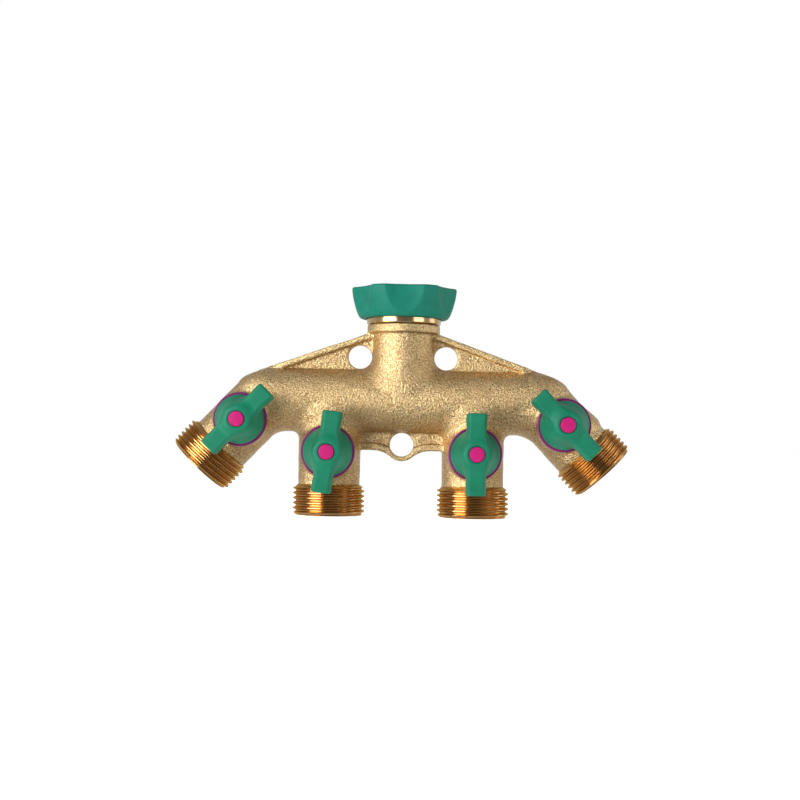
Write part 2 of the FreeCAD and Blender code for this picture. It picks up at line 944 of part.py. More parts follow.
def write_parts(pieces):
    """Checks every object and every piece, then writes one STEP file for each piece."""
    doc.recompute()
    for thing in doc.Objects:
        if "Invalid" in thing.State or "Error" in thing.State:
            raise RuntimeError(f"{thing.Label} failed: {thing.State}")
    for piece in pieces:
        if piece.Shape.isNull() or not piece.Shape.isValid():
            raise RuntimeError(f"{piece.Label} has no valid shape")
    os.makedirs("parts", exist_ok=True)
    for piece in pieces:
        piece.Shape.exportStep(f"parts/{piece.Label}.step")
        solids = len(piece.Shape.Solids)
        print(f"{piece.Label}: {solids} solid(s), {piece.Shape.Volume:.1f} mm3")


sheet = fill_sheet()
pieces = [
    build_manifold(),
    build_swivel_nut(),
    build_nut_grip(),
    build_retaining_ring(),
    build_inlet_washer(),
]
for n in VALVES:
    pieces += build_valve(n)
write_parts(pieces)
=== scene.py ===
"""The looks of the four-way hose splitter.

Shapes are worked out in millimetres in the row's frame: +X right, +Z up, the levers face -Y. Heights called
h are counted from the main tube's axis. An outlet's own distances are counted from its ball.
"""
import json
import math

import bmesh
import bpy
import numpy as np
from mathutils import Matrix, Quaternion, Vector


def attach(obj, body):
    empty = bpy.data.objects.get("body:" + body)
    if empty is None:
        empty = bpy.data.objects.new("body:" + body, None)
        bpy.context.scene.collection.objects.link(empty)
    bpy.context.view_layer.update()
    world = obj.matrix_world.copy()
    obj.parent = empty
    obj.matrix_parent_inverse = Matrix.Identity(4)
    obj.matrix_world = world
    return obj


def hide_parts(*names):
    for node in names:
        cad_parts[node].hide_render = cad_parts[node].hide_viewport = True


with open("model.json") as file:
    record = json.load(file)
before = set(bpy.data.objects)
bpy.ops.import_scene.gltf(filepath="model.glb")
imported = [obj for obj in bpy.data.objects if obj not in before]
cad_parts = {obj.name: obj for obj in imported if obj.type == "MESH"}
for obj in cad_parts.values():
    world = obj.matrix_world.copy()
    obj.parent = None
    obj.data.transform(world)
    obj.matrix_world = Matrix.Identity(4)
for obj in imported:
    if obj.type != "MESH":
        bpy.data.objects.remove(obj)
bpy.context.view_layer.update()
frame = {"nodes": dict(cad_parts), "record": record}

MM = 0.001
VALVES = (1, 2, 3, 4)
OUT = np.array((0.0, -1.0, 0.0))

TUBE_Z = -41.6
TUBE_RADIUS = 11.4
NECK_RADIUS = 11.4
STUB_RADIUS = 11.35
# for each valve: the fillet between stub and tube, how far the stub's wall stands beside the outlet's
# axis, and the lever's tilt in degrees
STUB_FILLET = {1: 2.2, 2: 2.7, 3: 2.7, 4: 3.0}
STUB_SHIFT = {1: -0.25, 2: 0.0, 3: 0.2, 4: 0.3}
LEVER_TILT = {1: 44.6, 2: 7.4, 3: 0.0, 4: -44.6}

joints = frame["record"]["behaviour"]["joints"]
mounts = {m["name"]: m for m in frame["record"]["mounts"]}
CENTRE = {}
AXIS = {}
for n in VALVES:
    joint = next(j for j in joints if j["name"] == f"valve_{n}_turn")
    CENTRE[n] = np.array((joint["pos_m"][0], 0.0, joint["pos_m"][2])) / MM
    AXIS[n] = np.array(mounts[f"outlet_{n}"]["axis"], float)
# how far along X the outer outlets' axes meet the tube's
REACH = CENTRE[4][0] - (CENTRE[4][2] - TUBE_Z) * AXIS[4][0] / AXIS[4][2]


# Distances to shapes: negative inside.


def hyp(a, b):
    return np.sqrt(a * a + b * b)


def ramp(x, low, high):
    """A smooth step from 0 at low to 1 at high."""
    t = np.clip((x - low) / (high - low), 0, 1)
    return t * t * (3 - 2 * t)


def join(a, b, r):
    """Both shapes, with a fillet of radius r where they meet."""
    return np.maximum(r, np.minimum(a, b)) - hyp(np.maximum(r - a, 0), np.maximum(r - b, 0))


def keep(a, b, r):
    """What both shapes share, with its edge rounded to radius r."""
    return np.minimum(-r, np.maximum(a, b)) + hyp(np.maximum(r + a, 0), np.maximum(r + b, 0))


def cut(a, b, r):
    """The first shape without the second, with its edge rounded to radius r."""
    return keep(a, -b, r)


def waves(p, size, seed):
    """A smooth uneven field between about -1 and 1."""
    x, y, z = (p / size).T
    total = np.sin(1.7 * x + 2.1 * y + seed) * np.cos(1.9 * z - 0.7 * x + 2 * seed)
    total += np.sin(2.3 * y - 1.3 * z + 3 * seed) * np.cos(1.1 * x + 2.9 * z)
    total += 0.6 * np.sin(3.7 * x - 2.2 * z + seed) * np.sin(4.1 * y + 3.1 * z + seed)
    return total / 2.2


def along(p, n, shift=0.0):
    """Distance down an outlet from its ball, and distance from its axis, or from a line shift beside it."""
    q = p - CENTRE[n]
    down = q @ AXIS[n]
    side = q[:, 0] * AXIS[n][2] - q[:, 2] * AXIS[n][0] - shift
    return down, hyp(side, q[:, 1])


def from_stem(p, n):
    """Distance from a valve's stem axis."""
    q = p - CENTRE[n]
    return hyp(q[:, 0], q[:, 2])


def rise(n):
    """Distance up an outlet's axis from its ball to the tube's axis."""
    return (TUBE_Z - CENTRE[n][2]) / -AXIS[n][2]


# The casting.

UNDERSIDE_DROP = 0.35
GUSSET_TOP, GUSSET_FOOT = (13.1, 24.6), (50.3, 11.4)
PANEL_HALF, BEAD_HALF = 2.2, 3.5
PANEL_DROP = 0.6
UPPER_BEAD, LOWER_BEAD = 2.2, 2.5
TAPER_START, TAPER = 44, 2.5
LOWER_EDGE, LOWER_REACH = -18.1, 26
LUG_H, LUG_RADIUS = -16.0, 6.0
ARC_X, ARC_H, ARC_RADIUS = 10.65, -28.6, 10.5

NECK_TOP, NECK_FILLET = 25.3, 4.0
COLLAR_H, COLLAR_HALF, COLLAR_RADIUS = 26.35, 1.55, 13.3
SPIGOT_RADIUS, SPIGOT_FOOT, SPIGOT_TOP = 9.9, 20, 31.9
GROOVE_RADIUS, GROOVE_H, GROOVE_HALF = 9.0, 30.5, 0.5
STUB_END = 12.35
PAD_RADIUS, PAD_DEPTH = 9.5, 12.6
BOSS_RADIUS, BOSS_DEPTH = 5.6, 17.0

BORE_RADIUS, BORE_STOP = 6.5, 3.2
PORT_RADIUS, PORT_OVERRUN = 4.9, 4.0
CAVITY_RADIUS, CAVITY_TOP = 7.78, -8.2
STEM_HOLE_RADIUS = 3.05
HOUSING_RADIUS, HOUSING_DEPTH = 4.2, 9.6
WALL_HOLE_RADIUS = 4.35
WALL_HOLES = ((-15.8, 16.0), (15.8, 16.0), (0.0, LUG_H))


def above_slope(x, h):
    """Height above the straight line down each upper gusset, which the elbows keep under too."""
    slope = (GUSSET_TOP[1] - GUSSET_FOOT[1]) / (GUSSET_FOOT[0] - GUSSET_TOP[0])
    return (h - GUSSET_TOP[1] + slope * (np.abs(x) - GUSSET_TOP[0])) / math.hypot(1, slope)


def plate(outline, y, bounds, bead, half):
    """A panel inside outline and bounds, with a thicker bead of the given width along its outline."""
    panel = np.maximum(np.maximum(outline + PANEL_DROP, np.abs(y) - np.minimum(PANEL_HALF, half)), bounds)
    rim = keep(np.abs(outline + bead / 2) - bead / 2, np.abs(y) - half, 0.4)
    return join(panel, np.maximum(rim, bounds), 0.15)


def upper_plate(x, y, h):
    """The gussets beside the neck, whose beads narrow into the elbows."""
    end = REACH + 2
    half = BEAD_HALF - TAPER * ramp(np.abs(x), TAPER_START, end)
    return plate(above_slope(x, h), y, np.maximum(-h, np.abs(x) - end), UPPER_BEAD, half)


def lug_outline(x, h):
    """The plate's lower edge, running into the lug by an arc that is tangent to both."""
    lug = hyp(x, h - LUG_H) - LUG_RADIUS
    arc = ARC_RADIUS - hyp(x - ARC_X, h - ARC_H)
    on_lug = (ARC_X * (h - LUG_H) - (ARC_H - LUG_H) * x) < 0
    return np.where(x > ARC_X, LOWER_EDGE - h, np.where(on_lug, lug, arc))


def lower_plate(x, y, h):
    """The gusset between the middle outlets, with the lug."""
    bounds = np.maximum(h, np.abs(x) - LOWER_REACH)
    return plate(lug_outline(np.abs(x), h), y, bounds, LOWER_BEAD, BEAD_HALF)


def tubes(p, x, y, h):
    """The main tube with its elbows, the neck and the four stubs."""
    body = np.sqrt((x - np.clip(x, -REACH, REACH)) ** 2 + y * y + h * h)
    body = body - TUBE_RADIUS - UNDERSIDE_DROP * ramp(-h, 5, 11)
    # the right elbow has a corner outside its bend, the left one is round
    down, far = along(p, 4)
    corner = keep(keep(hyp(y, h) - TUBE_RADIUS, far - STUB_RADIUS + 0.5, 1.5), down - 8, 0.5)
    body = join(body, np.maximum(corner, REACH - 4 - x), 1.0)
    body = keep(body, above_slope(x, h), 1.2)
    neck = keep(np.maximum(hyp(x, y) - NECK_RADIUS, -h), h - NECK_TOP, 0.3)
    body = join(body, neck, NECK_FILLET * ramp(h, 0, 7))
    for n in VALVES:
        down, far = along(p, n, STUB_SHIFT[n])
        stub = keep(np.maximum(far - STUB_RADIUS, -down - rise(n)), down - STUB_END, 0.15)
        body = join(body, stub, STUB_FILLET[n] * ramp(-h, -1, 5))
    return body


def casting(p):
    x, y, z = p.T
    h = z - TUBE_Z
    from_neck = hyp(x, y)
    body = tubes(p, x, y, h)
    for n in VALVES:
        r = from_stem(p, n)
        pad = keep(np.maximum(r - PAD_RADIUS, y), -y - PAD_DEPTH, 0.5)
        body = join(body, pad, 1.3)
        body = np.minimum(body, keep(np.maximum(r - BOSS_RADIUS, y), -y - BOSS_DEPTH, 0.3))
    body = join(body, upper_plate(x, y, h), 0.6)
    body = join(body, lower_plate(x, y, h), 0.7)
    collar = keep(from_neck - COLLAR_RADIUS, np.abs(h - COLLAR_H) - COLLAR_HALF, 0.35)
    body = join(body, collar, 0.45)
    body += 0.11 * waves(p, 5.0, 0.4) + 0.05 * waves(p, 1.9, 2.2)
    spigot = keep(np.maximum(from_neck - SPIGOT_RADIUS, SPIGOT_FOOT - h), h - SPIGOT_TOP, 0.3)
    groove = np.maximum(GROOVE_RADIUS - from_neck, np.abs(h - GROOVE_H) - GROOVE_HALF)
    body = np.minimum(body, cut(spigot, groove, 0.1))
    for n in VALVES:
        down, far = along(p, n)
        middle = rise(n) / 2
        port = np.abs(down + middle + PORT_OVERRUN / 2) - middle - PORT_OVERRUN / 2
        body = np.maximum(body, -np.maximum(far - PORT_RADIUS, port))
        body = cut(body, np.maximum(far - CAVITY_RADIUS, CAVITY_TOP - down), 0.1)
        r = from_stem(p, n)
        body = cut(body, np.maximum(r - STEM_HOLE_RADIUS, y), 0.1)
        body = np.maximum(body, -np.maximum(r - HOUSING_RADIUS, np.maximum(-HOUSING_DEPTH - y, y)))
    for hole_x, hole_h in WALL_HOLES:
        body = cut(body, hyp(x - hole_x, h - hole_h) - WALL_HOLE_RADIUS, 0.35)
    bore = np.maximum(hyp(y, h) - BORE_RADIUS, np.abs(x) - REACH + BORE_STOP)
    bore = np.minimum(bore, np.maximum(from_neck - BORE_RADIUS, -h))
    return cut(body, bore, 0.2)


# The moulded grip and the levers.

GRIP_HEIGHTS = (28.5, 29.6, 30.3, 31.0, 32.0, 33.0, 34.5, 36.0, 38.0, 40.6, 45.0)
GRIP_RADII = (14.9, 15.35, 16.0, 16.6, 17.15, 17.55, 18.05, 18.45, 18.95, 19.3, 19.3)
GRIP_LOW = 30.25
HOLLOWS = 6
HOLLOW_TURN = 0.5
HOLLOW_RADIUS, HOLLOW_DISTANCE = 22.6, 39.4
NUT_ROOM, NUT_ROOM_LOW, NECK_ROOM = 14.91, 31.3, 13.85


def nut_grip(p):
    x, y, z = p.T
    h = z - TUBE_Z
    r = hyp(x, y)
    wall = r - np.interp(h, GRIP_HEIGHTS, GRIP_RADII)
    for k in range(HOLLOWS):
        angle = math.radians(HOLLOW_TURN - 90 + 360 / HOLLOWS * k)
        dx, dy = HOLLOW_DISTANCE * math.cos(angle), HOLLOW_DISTANCE * math.sin(angle)
        wall = cut(wall, hyp(x - dx, y - dy) - HOLLOW_RADIUS, 0.25)
    wall = keep(wall, -h + GRIP_LOW, 0.5)
    wall = keep(wall, z, 0.6)
    room = np.minimum(np.maximum(r - NUT_ROOM, NUT_ROOM_LOW - h), r - NECK_ROOM)
    return cut(wall, room, 0.25)


BELL_HEIGHTS = (14.1, 15.3, 16.4, 18.0, 20.0, 22.0, 23.6, 24.6, 25.2, 26.0)
BELL_RADII = (8.9, 8.8, 8.4, 7.6, 6.75, 6.0, 5.4, 4.8, 4.2, 3.4)
BELL_LOW, BELL_TOP = 14.1, 25.2
ARM_HALF, ARM_LENGTH = 3.5, 14.6
ARM_LOW, ARM_TOP = 17.4, 23.8
FACET, FACET_SLOPE = 0.95, 0.42
INSIDE_RADIUS, INSIDE_TOP = 6.0, 17.3
SOCKET_HALF, SOCKET_TOP = 2.55, 21.2
SCREW_HOLE_RADIUS = 1.6
CAP_HOLE_RADIUS, CAP_HOLE_LOW = 2.82, 22.6


def lever(p):
    """Width along x, arms along y, out along z, from the ball's centre."""
    x, y, z = p.T
    r = hyp(x, y)
    bell = keep(r - np.interp(z, BELL_HEIGHTS, BELL_RADII), z - BELL_TOP, 0.6)
    bell = keep(bell, BELL_LOW - z, 0.35)
    # the arms widen a little at their tips, and more where they run into the bell
    half = ARM_HALF + 0.12 * ramp(np.abs(y), 8, 14) + 0.5 * ramp(-np.abs(y), -9, -4)
    side = np.abs(x) - half
    facet = (side + FACET + (z - ARM_TOP) * FACET_SLOPE) / math.hypot(1, FACET_SLOPE)
    arms = keep(keep(keep(side, z - ARM_TOP, 0.3), facet, 0.35), ARM_LOW - z, 0.5)
    arms = keep(arms, np.abs(y) - ARM_LENGTH, 0.8)
    body = join(bell, arms, 1.9)
    body = cut(body, np.maximum(r - INSIDE_RADIUS, z - INSIDE_TOP), 0.2)
    socket = np.maximum(np.maximum(np.abs(x), np.abs(y)) - SOCKET_HALF, z - SOCKET_TOP)
    body = np.maximum(body, -socket)
    body = np.maximum(body, SCREW_HOLE_RADIUS - r)
    return cut(body, np.maximum(r - CAP_HOLE_RADIUS, CAP_HOLE_LOW - z), 0.15)


# Meshes.


def slope_of(sdf, points, step=0.02):
    """The gradient of a distance at each point."""
    parts = []
    for axis in range(3):
        move = np.zeros(3)
        move[axis] = step
        parts.append((sdf(points + move) - sdf(points - move)) / (2 * step))
    return np.stack(parts, 1)


def skin(sdf, low, high, voxel):
    """The surface where sdf is nought, as points and four-cornered faces."""
    low = np.array(low, float)
    count = np.ceil((np.array(high) - low) / voxel).astype(int) + 1
    axes = [low[i] + voxel * np.arange(count[i]) for i in range(3)]
    field = np.empty(count)
    for i, x in enumerate(axes[0]):
        yy, zz = np.meshgrid(axes[1], axes[2], indexing="ij")
        layer = np.stack((np.full(yy.size, x), yy.ravel(), zz.ravel()), 1)
        field[i] = sdf(layer).reshape(yy.shape)
    solid = field < 0
    cells = tuple(count - 1)
    total = np.zeros(cells + (3,))
    hits = np.zeros(cells)
    for axis in range(3):
        others = [a for a in range(3) if a != axis]
        for i in (0, 1):
            for j in (0, 1):
                near = [None] * 3
                near[axis] = slice(0, cells[axis])
                near[others[0]] = slice(i, cells[others[0]] + i)
                near[others[1]] = slice(j, cells[others[1]] + j)
                far = list(near)
                far[axis] = slice(1, cells[axis] + 1)
                a, b = field[tuple(near)], field[tuple(far)]
                change = (a < 0) != (b < 0)
                share = np.where(change, a / np.where(change, a - b, 1), 0)
                hits += change
                total[..., axis] += share
                total[..., others[0]] += change * i
                total[..., others[1]] += change * j
    active = hits > 0
    where = np.argwhere(active)
    points = low + voxel * (where + total[active] / hits[active][:, None])
    # pull each point onto the surface, by less than half a voxel at a time
    for _ in range(3):
        slope = slope_of(sdf, points)
        size = np.maximum((slope * slope).sum(1), 0.05)
        move = slope * (sdf(points) / size)[:, None]
        length = np.maximum(np.linalg.norm(move, axis=1), 1e-9)
        points -= move * np.minimum(1, 0.4 * voxel / length)[:, None]
    index = np.full(cells, -1)
    index[active] = np.arange(len(where))
    faces = []
    for axis in range(3):
        b, c = (axis + 1) % 3, (axis + 2) % 3
        near = [slice(1, cells[a]) for a in range(3)]
        near[axis] = slice(0, cells[axis])
        far = list(near)
        far[axis] = slice(1, cells[axis] + 1)
        first, second = solid[tuple(near)], solid[tuple(far)]
        for outward in (True, False):
            edges = (first & ~second) if outward else (~first & second)
            at = np.argwhere(edges)
            at += [int(a != axis) for a in range(3)]
            ring = []
            for db, dc in ((1, 1), (0, 1), (0, 0), (1, 0)):
                cell = at.copy()
                cell[:, b] -= db
                cell[:, c] -= dc
                ring.append(index[tuple(cell.T)])
            quad = np.stack(ring, 1)
            faces.append(quad if outward else quad[:, ::-1])
    return points, np.concatenate(faces)


def wheel(rows, columns):
    """Faces between neighbouring columns of a closed ring of rows; the last column meets the first."""
    i, j = np.meshgrid(np.arange(columns), np.arange(rows), indexing="ij")
    a = i * rows + j
    b = i * rows + (j + 1) % rows
    c = (i + 1) * rows + (j + 1) % rows
    d = (i + 1) * rows + j
    return np.stack((a, b, c, d), -1).reshape(-1, 4)


def lathe(outline, segments=96):
    """A closed (radius, height) outline turned about the third axis; it runs outward side up."""
    outline = np.array(outline, float)
    angles = np.linspace(0, 2 * math.pi, segments + 1)
    points = [
        np.stack((outline[:, 0] * math.cos(t), outline[:, 0] * math.sin(t), outline[:, 1]), 1)
        for t in angles
    ]
    return np.concatenate(points), wheel(len(outline), segments)


def screw(profile, pitch, low, high, clip, closing, columns=132):
    """A lathe whose rows climb one pitch in each turn; closing is the rest of the outline."""
    first = math.floor(low / pitch) - 2
    last = math.ceil(high / pitch) + 2
    points = []
    for i in range(columns + 1):
        t = 2 * math.pi * i / columns
        outline = []
        for k in range(first, last):
            for shift, radius in profile:
                s = min(max(pitch * (k + i / columns) + shift, low), high)
                outline.append((clip(s, radius), s))
        outline = np.array(outline + closing)
        r, s = outline.T
        points.append(np.stack((r * math.cos(t), r * math.sin(t), s), 1))
    return np.concatenate(points), wheel(len(outline), columns)


def box_mesh(low, high):
    corners = np.array([[x, y, z] for x in (0, 1) for y in (0, 1) for z in (0, 1)], float)
    points = np.array(low) + corners * (np.array(high) - np.array(low))
    faces = ((0, 1, 3, 2), (4, 6, 7, 5), (0, 4, 5, 1), (2, 3, 7, 6), (0, 2, 6, 4), (1, 5, 7, 3))
    return points, np.array(faces)


def put(points, centre, u, v, w):
    """Points moved to centre, with their axes along u, v and w."""
    return np.array(centre) + points @ np.array((u, v, w))


WELD_DISTANCE = 0.002 * MM
CREASE = math.radians(22)


def make(name, points, faces, finish, body, replaces, weld=False):
    """A piece on a body; weld joins its doubled points and keeps its edges crisp."""
    mesh = bpy.data.meshes.new(name)
    mesh.from_pydata((np.asarray(points) * MM).tolist(), [], np.asarray(faces).tolist())
    mesh.validate()
    piece = bpy.data.objects.new(name, mesh)
    bpy.context.scene.collection.objects.link(piece)
    if weld:
        work = bmesh.new()
        work.from_mesh(mesh)
        bmesh.ops.remove_doubles(work, verts=work.verts, dist=WELD_DISTANCE)
        bmesh.ops.dissolve_degenerate(work, edges=work.edges, dist=WELD_DISTANCE / 2)
        bmesh.ops.recalc_face_normals(work, faces=work.faces)
        work.to_mesh(mesh)
        work.free()
    mesh.shade_smooth()
    if weld:
        mesh.set_sharp_from_angle(angle=CREASE)
    mesh.materials.append(finish)
    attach(piece, body)
    for node in replaces:
        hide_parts(node)
    return piece


# Materials.


class Finish:
    """A material whose colour, roughness and relief come from noise, in the object's own coordinates."""

    def __init__(self, name, metallic=0.0, **sockets):
        self.material = bpy.data.materials.new(name)
        self.material.use_nodes = True
        self.tree = self.material.node_tree
        self.shader = next(n for n in self.tree.nodes if n.type == "BSDF_PRINCIPLED")
        self.shader.inputs["Metallic"].default_value = metallic
        for socket, value in sockets.items():
            self.shader.inputs[socket.replace("_", " ")].default_value = value
        self.place = self.tree.nodes.new("ShaderNodeTexCoord").outputs["Object"]
        self.height = None

    def node(self, kind, **inputs):
        made = self.tree.nodes.new(f"ShaderNode{kind}")
        for name, value in inputs.items():
            socket = made.inputs[name.replace("_", " ")]
            if isinstance(value, bpy.types.NodeSocket):
                self.tree.links.new(value, socket)
            else:
                socket.default_value = value
        return made

    def noise(self, size_mm, detail=4.0, roughness=0.6, stretch=None):
        place = self.place
        if stretch:
            place = self.node("Mapping", Vector=place, Scale=stretch).outputs["Vector"]
        made = self.node(
            "TexNoise", Vector=place, Scale=1 / (size_mm * MM), Detail=detail, Roughness=roughness
        )
        return made.outputs["Fac"]

    def spots(self, size_mm):
        made = self.node("TexVoronoi", Vector=self.place, Scale=1 / (size_mm * MM))
        return made.outputs["Distance"]

    def mapped(self, value, low, high, to_low, to_high):
        made = self.node("MapRange", Value=value, From_Min=low, From_Max=high, To_Min=to_low, To_Max=to_high)
        return made.outputs["Result"]

    def blend(self, factor, a, b, mode="MIX"):
        made = self.tree.nodes.new("ShaderNodeMix")
        made.data_type = "RGBA"
        made.blend_type = mode
        self.tree.links.new(factor, made.inputs["Factor"])
        for socket, value in ((made.inputs[6], a), (made.inputs[7], b)):
            if isinstance(value, bpy.types.NodeSocket):
                self.tree.links.new(value, socket)
            else:
                socket.default_value = (*value, 1)
        return made.outputs[2]

    def colour(self, value):
        self.tree.links.new(value, self.shader.inputs["Base Color"])

    def rough(self, value):
        self.tree.links.new(value, self.shader.inputs["Roughness"])

    def relief(self, height, depth_mm, strength=1.0):
        bump = self.node("Bump", Height=height, Distance=depth_mm * MM, Strength=strength)
        if self.height is not None:
            self.tree.links.new(self.height, bump.inputs["Normal"])
        self.height = bump.outputs["Normal"]
        self.tree.links.new(self.height, self.shader.inputs["Normal"])


def cast_brass():
    """A blasted casting: coarse bright and dark grain, pits, duller patches and brighter worn edges."""
    f = Finish("cast_brass", metallic=0.95)
    grain = f.noise(0.48, detail=3, roughness=0.6)
    pits = f.spots(0.7)
    patch = f.noise(7.0, detail=3)
    tone = f.blend(f.mapped(grain, 0.4, 0.6, 0, 1), (0.38, 0.235, 0.095), (0.95, 0.72, 0.385))
    dulled = f.blend(f.mapped(patch, 0.35, 0.7, 0.0, 0.35), tone, (0.64, 0.40, 0.18))
    edge = f.node("NewGeometry").outputs["Pointiness"]
    f.colour(f.blend(f.mapped(edge, 0.51, 0.58, 0.0, 0.5), dulled, (0.95, 0.76, 0.38)))
    f.rough(f.mapped(grain, 0.3, 0.7, 0.42, 0.28))
    f.relief(f.noise(1.9, detail=3), 0.08, 0.6)
    f.relief(pits, 0.16, 0.8)
    f.relief(grain, 0.3, 1.0)
    return f.material


def turned_brass():
    f = Finish("turned_brass", metallic=1.0, Specular_Tint=(0.88, 0.70, 0.44, 1))
    patch = f.noise(4.0, detail=3)
    fine = f.noise(0.3, detail=3)
    tone = f.blend(f.mapped(patch, 0.3, 0.7, 0, 1), (0.54, 0.31, 0.11), (0.67, 0.42, 0.19))
    f.colour(f.blend(f.mapped(fine, 0.45, 0.75, 0.0, 0.2), tone, (0.76, 0.50, 0.27)))
    f.rough(f.mapped(fine, 0.3, 0.7, 0.17, 0.24))
    f.relief(fine, 0.006, 0.4)
    return f.material


def bright_brass():
    """The polished nut, with turning lines round its axis."""
    f = Finish("bright_brass", metallic=1.0)
    tone = f.noise(5.0, detail=3)
    lines = f.noise(0.5, detail=4, stretch=(0.15, 0.15, 4.0))
    f.colour(f.blend(tone, (0.60, 0.41, 0.20), (0.72, 0.53, 0.29)))
    f.rough(f.mapped(lines, 0.3, 0.7, 0.12, 0.22))
    f.relief(lines, 0.003, 0.4)
    return f.material


def chromed_brass():
    f = Finish("chromed_brass", metallic=1.0, Base_Color=(0.86, 0.87, 0.89, 1))
    haze = f.noise(2.0)
    f.rough(f.mapped(haze, 0.3, 0.7, 0.05, 0.14))
    f.relief(f.noise(0.5), 0.004, 0.4)
    return f.material


def spring_steel():
    f = Finish("spring_steel", metallic=1.0)
    streak = f.noise(0.6, detail=5)
    f.colour(f.blend(streak, (0.5, 0.5, 0.52), (0.72, 0.72, 0.74)))
    f.rough(f.mapped(streak, 0.3, 0.7, 0.25, 0.4))
    f.relief(streak, 0.02, 0.5)
    return f.material


def moulded(name, dark, light, size, rough_low, rough_high, depth, gloss=None):
    """A moulded material with a slight mottle and a fine surface."""
    f = Finish(name, **({} if gloss is None else {"Specular_IOR_Level": gloss}))
    mottle = f.noise(size, detail=4)
    fine = f.noise(0.3, detail=3)
    f.colour(f.blend(f.mapped(mottle, 0.3, 0.7, 0, 1), dark, light))
    f.rough(f.mapped(fine, 0.3, 0.7, rough_low, rough_high))
    f.relief(fine, depth, 0.6)
    if name == "grip_plastic":  # its faces have faint upright marks
        f.relief(f.noise(0.5, detail=4, stretch=(1.0, 1.0, 0.12)), 0.06, 0.5)
    return f.material


BRIGHT_BRASS = bright_brass()
FINISHES = {
    "cast_brass": cast_brass(),
    "turned_brass": turned_brass(),
    "chromed_brass": chromed_brass(),
    "spring_steel": spring_steel(),
}
# dark and light colour, mottle in mm, least and most roughness, relief in mm, and gloss where it isn't usual
MOULDED = {
    "white_ptfe": ((0.78, 0.78, 0.75), (0.86, 0.86, 0.84), 3.0, 0.4, 0.55, 0.02),
    "black_rubber": ((0.012, 0.012, 0.012), (0.03, 0.03, 0.03), 2.0, 0.6, 0.8, 0.04),
    "grip_plastic": ((0.002, 0.15, 0.10), (0.004, 0.185, 0.125), 4.0, 0.45, 0.58, 0.02, 0.22),
    "lever_plastic": ((0.003, 0.155, 0.082), (0.005, 0.195, 0.105), 5.0, 0.4, 0.52, 0.03, 0.25),
    "ring_plastic": ((0.15, 0.004, 0.10), (0.20, 0.006, 0.13), 3.0, 0.3, 0.42, 0.02),
    "cap_plastic": ((0.42, 0.001, 0.12), (0.48, 0.002, 0.145), 2.0, 0.45, 0.55, 0.02, 0.3),
}
for name, look in MOULDED.items():
    FINISHES[name] = moulded(name, *look)

slots = {s["node"]: s["material_slot"] for s in frame["record"]["subparts"]}
for node, thing in frame["nodes"].items():
    for one in thing if isinstance(thing, (list, tuple)) else (thing,):
        one.data.materials.clear()
        one.data.materials.append(FINISHES[slots[node]])
        for polygon in one.data.polygons:
            polygon.material_index = 0


# Pieces.

points, faces = skin(casting, (-85, -18.2, -84), (85, 14.5, -8.5), voxel=0.68)
make("casting", points, faces, FINISHES["cast_brass"], "manifold", ["manifold_body"])

PITCH = 1.814
# (height, radius) over one pitch: the G 3/4 ridge, and the same turned inside out
THREAD = (
    (-0.80, 12.06), (-0.66, 12.16), (-0.24, 13.08), (-0.10, 13.22),
    (0.10, 13.22), (0.24, 13.08), (0.66, 12.16),
)
NUT_THREAD = (
    (-0.80, 13.22), (-0.66, 13.12), (-0.24, 12.2), (-0.10, 12.06),
    (0.10, 12.06), (0.24, 12.2), (0.66, 13.12),
)
THREAD_START, THREAD_END, OUTLET_END = 12.2, 23.2, 23.3


def outlet_clip(s, radius):
    """The ridges run in from the stub and are chamfered at the mouth."""
    return min(radius, 12.1 + (OUTLET_END - s), 11.45 + 1.5 * (s - THREAD_START))


closing = [(12.0, OUTLET_END), (8.2, OUTLET_END), (7.8, 22.9), (7.8, THREAD_START)]
ridges, faces = screw(THREAD, PITCH, THREAD_START, THREAD_END, outlet_clip, closing)
for n in VALVES:
    points = put(ridges, CENTRE[n], np.cross(OUT, AXIS[n]), OUT, AXIS[n])
    make(
        f"outlet_thread_{n}", points, faces, FINISHES["turned_brass"], "manifold",
        ["manifold_body"], weld=True,
    )

NUT_LEDGE, NUT_MOUTH = TUBE_Z + 29.9, -0.15
NUT_LOW = TUBE_Z + 28.15
NUT_SHOULDER = TUBE_Z + 31.4
NUT_RADIUS, RIM_RADIUS, FLANGE_RADIUS = 14.85, 13.65, 9.96
UNDERCUT_RADIUS, UNDERCUT_HEIGHT = 13.22, 3.6
KEYS = 6


def nut_clip(s, radius):
    """The ridges stop short of the washer's ledge and are chamfered at the mouth."""
    undercut = UNDERCUT_RADIUS if s < NUT_LEDGE + UNDERCUT_HEIGHT else 0
    return max(radius, 12.7 + (s - NUT_MOUTH), undercut)


closing = [
    (13.3, NUT_MOUTH), (14.55, NUT_MOUTH), (NUT_RADIUS, NUT_MOUTH - 0.3), (NUT_RADIUS, NUT_SHOULDER),
    (RIM_RADIUS, NUT_SHOULDER), (RIM_RADIUS, NUT_LOW + 0.35), (13.3, NUT_LOW),
    (10.6, NUT_LOW), (FLANGE_RADIUS, NUT_LOW + 0.6), (FLANGE_RADIUS, NUT_LEDGE), (13.2, NUT_LEDGE),
]
nut = [screw(NUT_THREAD, PITCH, NUT_LEDGE, NUT_MOUTH, nut_clip, closing)]
for k in range(KEYS):
    bar, sides = box_mesh((14.3, -1.2, TUBE_Z + 33.0), (15.6, 1.2, NUT_MOUTH))
    t = 2 * math.pi * k / KEYS
    turn = np.array(((math.cos(t), math.sin(t), 0), (-math.sin(t), math.cos(t), 0), (0, 0, 1)))
    nut.append((bar @ turn, sides))
start = 0
all_faces = []
for points, faces in nut:
    all_faces += (np.asarray(faces) + start).tolist()
    start += len(points)
